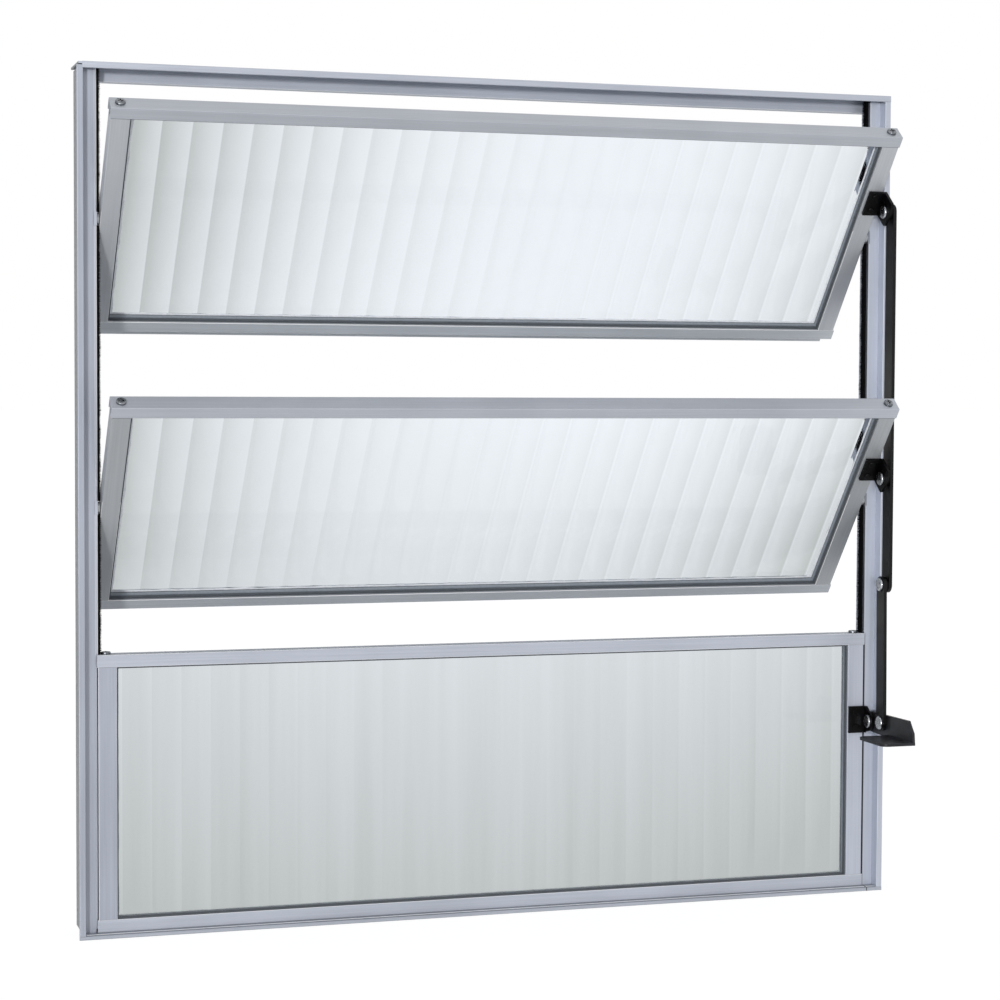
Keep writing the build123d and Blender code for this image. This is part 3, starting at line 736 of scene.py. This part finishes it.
def brush_strip(node, side):
    """A strip of pile in place of its plain bars, with a break at each pivot."""
    chance = random.Random(node)
    low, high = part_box(node)
    wall = high.x if side == RIGHT else low.x
    pivots = sorted(PIVOTS[sash].z for sash in TURNING_SASHES)
    breaks = [z + shift for z in pivots for shift in (-PILE_BREAK, PILE_BREAK)]
    edges = [low.z, FIXED_TOP, FIXED_TOP, *breaks, high.z]
    tips = [SQUEEZED_TIP] + 3 * [PILE_TIP[side]]
    vertices, faces = [], []
    for bottom, top, tip_place in zip(edges[::2], edges[1::2], tips):
        heart = abs(wall) - tip_place - DENSE_PILE
        backing_bar = bar_section(side, wall, low.y, high.y, BACKING)
        heart_bar = bar_section(side, wall, low.y + DENSE_PILE, high.y - DENSE_PILE, heart)
        add_prism(vertices, faces, backing_bar, bottom, top)
        add_prism(vertices, faces, heart_bar, bottom, top)
        count = round((top - bottom) / FIBRE_PITCH)
        for index in range(count):
            for row in FIBRE_ROWS:
                z = bottom + (index + chance.uniform(*FIBRE_JITTER)) * (top - bottom) / count
                tuft = noise.noise(Vector((0, row * TUFTS_ACROSS, z * TUFTS_UP))) * PILE_FRAY
                reach = tip_place + tuft + chance.gauss(0, LENGTH_SPREAD)
                reach = max(reach, SQUEEZED_TIP) if tip_place == SQUEEZED_TIP else reach
                root_y = row + chance.uniform(-ROOT_SPREAD, ROOT_SPREAD)
                root = Vector((wall - side * 0.5 * BACKING, root_y, z))
                tip_y = root.y + chance.gauss(0, DEPTH_LEAN)
                tip_z = min(max(z + chance.gauss(0, HEIGHT_LEAN), bottom), top)
                tip = Vector((side * reach, tip_y, tip_z))
                add_fibre(vertices, faces, root, tip, FIBRE_WIDTH)
    strip = mesh_piece(f"{node}_pile", vertices, faces, polypropylene_pile)
    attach(strip, "frame")
    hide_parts(node)
    print(strip.name, len(faces), "faces")


brush_strip("left_brush", LEFT)
brush_strip("right_brush", RIGHT)

# %% [markdown]
# The backing of the brush slides into a slot in the jamb. The slot's front lip is a thin strip of the jamb's
# own aluminium with a rounded front edge. On the left it is painted lighter, with a painted highlight on that
# edge, and on the right darker, a painted shade. Over each pivot bush it is cut back to a thin web in front
# of the bush.

# %% Brush slot lips
LIP_FRONT = -11.5 * MM
LIP_BACK = -10.3 * MM
LIP_ROOT = 287.7 * MM
LIP_TIP = {LEFT: 285.7 * MM, RIGHT: 286.4 * MM}
LIP_BESIDE_FIXED = 286.2 * MM
LIP_ROUND = 1.2 * MM
ROUND_STEPS = 4
BUSH_FRONT = -12.02 * MM
BUSH_WEB = 0.3 * MM
BUSH_HALF = 4.6 * MM
LIP_START = FIXED_TOP + 0.2 * MM
LIP_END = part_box("head")[1].z - 1.5 * MM
LIP_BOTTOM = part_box("left_jamb")[0].z + 3.2 * MM


def lip_section(side, tip, front, back):
    """The section of the lip, with its front edge rounded."""
    turn = min(LIP_ROUND, back - front)
    outline = [(LIP_ROOT, front)]
    for step in range(ROUND_STEPS + 1):
        angle = math.pi / 2 * step / ROUND_STEPS
        outline.append((tip + turn * (1 - math.sin(angle)), front + turn * (1 - math.cos(angle))))
    outline += [(tip, back), (LIP_ROOT, back)]
    return [(side * x, y) for x, y in outline]


def brush_lip(side, name, metal):
    """The lip of one jamb's brush slot. On the left it also closes the gap beside the fixed sash."""
    bushes = [(PIVOTS[sash].z - BUSH_HALF, PIVOTS[sash].z + BUSH_HALF) for sash in TURNING_SASHES]
    ends = [LIP_START, *sorted(z for bush in bushes for z in bush), LIP_END]
    plain = lip_section(side, LIP_TIP[side], LIP_FRONT, LIP_BACK)
    web = lip_section(side, LIP_TIP[side], BUSH_FRONT - BUSH_WEB, BUSH_FRONT)
    vertices, faces = [], []
    for low, high in zip(ends[::2], ends[1::2]):
        add_prism(vertices, faces, plain, low, high)
    for low, high in bushes:
        add_prism(vertices, faces, web, low, high)
    if side == LEFT:
        beside = lip_section(side, LIP_BESIDE_FIXED, LIP_FRONT, LIP_BACK)
        add_prism(vertices, faces, beside, LIP_BOTTOM, LIP_START)
    lip = mesh_piece(name, vertices, faces, metal)
    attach(lip, "frame")
    print(name, len(faces), "faces")


# A painted highlight on the left lip and a painted shade on the right lip.
highlit_lip_aluminium = anodised_aluminium("highlit_lip_aluminium", 0.0, UPWARDS, "#A8ADB8", "#B9BECA")
shaded_lip_aluminium = anodised_aluminium("shaded_lip_aluminium", 0.0, UPWARDS, "#747982", "#848992", "#848992")
brush_lip(LEFT, "left_brush_lip", highlit_lip_aluminium)
brush_lip(RIGHT, "right_brush_lip", shaded_lip_aluminium)

# %% [markdown]
# The pivots turn in white nylon bushes. Nylon is waxy: light goes a little way in, and the gloss is soft. The
# bushes stand deep between jamb and sash, and the shade round them is painted dark.

# %% Nylon
NYLON_MOTTLE = 5 * MM
NYLON_SHADE_REACH = 2.5 * MM
NYLON_DEPTH = 1 * MM

natural_nylon, tree = new_material("natural_nylon")
place = add(tree, "TexCoord").outputs["Object"]
mottle = add(tree, "TexNoise", {"Vector": place, "Scale": 1 / NYLON_MOTTLE, "Detail": 3.0})
colour = add(tree, "ValToRGB", {"Fac": mottle}, stops=((0.3, "#8F9295"), (0.7, "#B4B7B9")))
# Painted shade where the bush is closed in.
darkening = corner_shade(tree, NYLON_SHADE_REACH, closed=0.35, clear=0.8, most=0.95)
with_painted_shade = add(tree, "Mix", {0: darkening, 6: colour, 7: linear("#0C0C0E")}, data_type="RGBA")
waxy = add(tree, "BsdfPrincipled", {
    "Base Color": with_painted_shade.outputs[2], "Roughness": 0.42, "IOR": 1.53, "Subsurface Weight": 0.2,
    "Subsurface Radius": (NYLON_DEPTH, NYLON_DEPTH, NYLON_DEPTH), "Subsurface Scale": 1.0})
add(tree, "OutputMaterial", {"Surface": waxy})
dress(natural_nylon, "pivot_bushes")

# %% [markdown]
# The brackets, bars and lever are steel plate with a baked black paint. Baked paint has a fine orange peel
# and a soft gloss that is lighter where it faces the room. Handling leaves it a little dull, with dust in
# patches. The lever is painted a lighter black than the rest, partly for dust and partly as a painted sheen
# on its plate, which faces the room.

# %% Black painted steel
ORANGE_PEEL = 0.9 * MM
PEEL_DEPTH = 0.05 * MM
DUST_PATCH = 14 * MM


def black_paint(name, deep, dust_and_sheen, shine):
    """Semi-gloss black paint on steel plate, with orange peel and a trace of dust. On the lever its colours
    also carry a painted sheen.
    """
    made, tree = new_material(name)
    place = add(tree, "TexCoord").outputs["Object"]
    peel = add(tree, "TexNoise", {"Vector": place, "Scale": 1 / ORANGE_PEEL, "Detail": 2.0})
    dust = add(tree, "TexNoise", {"Vector": place, "Scale": 1 / DUST_PATCH, "Detail": 5.0, "Roughness": 0.65})
    colour = add(tree, "ValToRGB", {"Fac": dust}, stops=((0.42, deep), (0.72, dust_and_sheen)))
    gloss = add(tree, "MapRange", {"Value": dust, "To Min": 0.34, "To Max": 0.55})
    relief = add(tree, "Bump", {"Height": peel, "Strength": 0.35, "Distance": PEEL_DEPTH})
    paint = add(tree, "BsdfPrincipled", {"Base Color": colour, "Roughness": gloss, "IOR": 1.5,
                                         "Specular IOR Level": shine, "Normal": relief})
    add(tree, "OutputMaterial", {"Surface": paint})
    return made


BRACKETS = [f"{sash}_{part}" for sash in TURNING_SASHES for part in ("bracket", "bracket_screws")]
BRACKETS += ["link_spacers", "lever_bracket", "lever_bracket_screws"]
dress(black_paint("black_painted_bars", "#030304", "#0D0D0F", 0.22), "link_bar", "lower_link_bar")
dress(black_paint("black_painted_brackets", "#010102", "#08080A", 0.12), *BRACKETS)
# The lever's lighter black is partly dust and partly a painted sheen on its plate, which faces the room.
dress(black_paint("black_painted_lever", "#1A1A1E", "#2C2C32", 0.3), "lever_handle")

# %% [markdown]
# Rivets, rail screws and pins are steel with bright zinc plating. The plating is a thin bright metal whose
# tone shifts a little from place to place, and its corners and recesses are darkened with painted shade.

# %% Zinc-plated steel
ZINC_MOTTLE = 2.5 * MM
ZINC_SHADE_REACH = 1.5 * MM


def zinc_plating(name, dull, bright):
    """Zinc plating with uneven tone, darkened in its corners with painted shade."""
    made, tree = new_material(name)
    place = add(tree, "TexCoord").outputs["Object"]
    uneven = add(tree, "TexNoise", {"Vector": place, "Scale": 1 / ZINC_MOTTLE, "Detail": 4.0})
    colour = add(tree, "ValToRGB", {"Fac": uneven}, stops=((0.3, dull), (0.7, bright)))
    # Painted shade in corners and recesses.
    darkening = corner_shade(tree, ZINC_SHADE_REACH, closed=0.35, clear=0.85, most=0.9)
    with_painted_shade = add(tree, "Mix", {0: darkening, 6: colour, 7: linear("#17181A")}, data_type="RGBA")
    gloss = add(tree, "MapRange", {"Value": uneven, "To Min": 0.18, "To Max": 0.36})
    plating = add(tree, "BsdfPrincipled", {"Base Color": with_painted_shade.outputs[2], "Metallic": 1.0,
                                           "Roughness": gloss})
    add(tree, "OutputMaterial", {"Surface": plating})
    return made


RIVETS = ["link_rivets", "lever_pin", "lever_pivot_rivet"] + [f"{sash}_pins" for sash in TURNING_SASHES]
dress(zinc_plating("bright_zinc_plating", "#8D9095", "#C9CBCE"), *RIVETS)
dress(zinc_plating("dull_zinc_plating", "#5B5F63", "#9A9EA3"), *[f"{sash}_screws" for sash in SASHES])
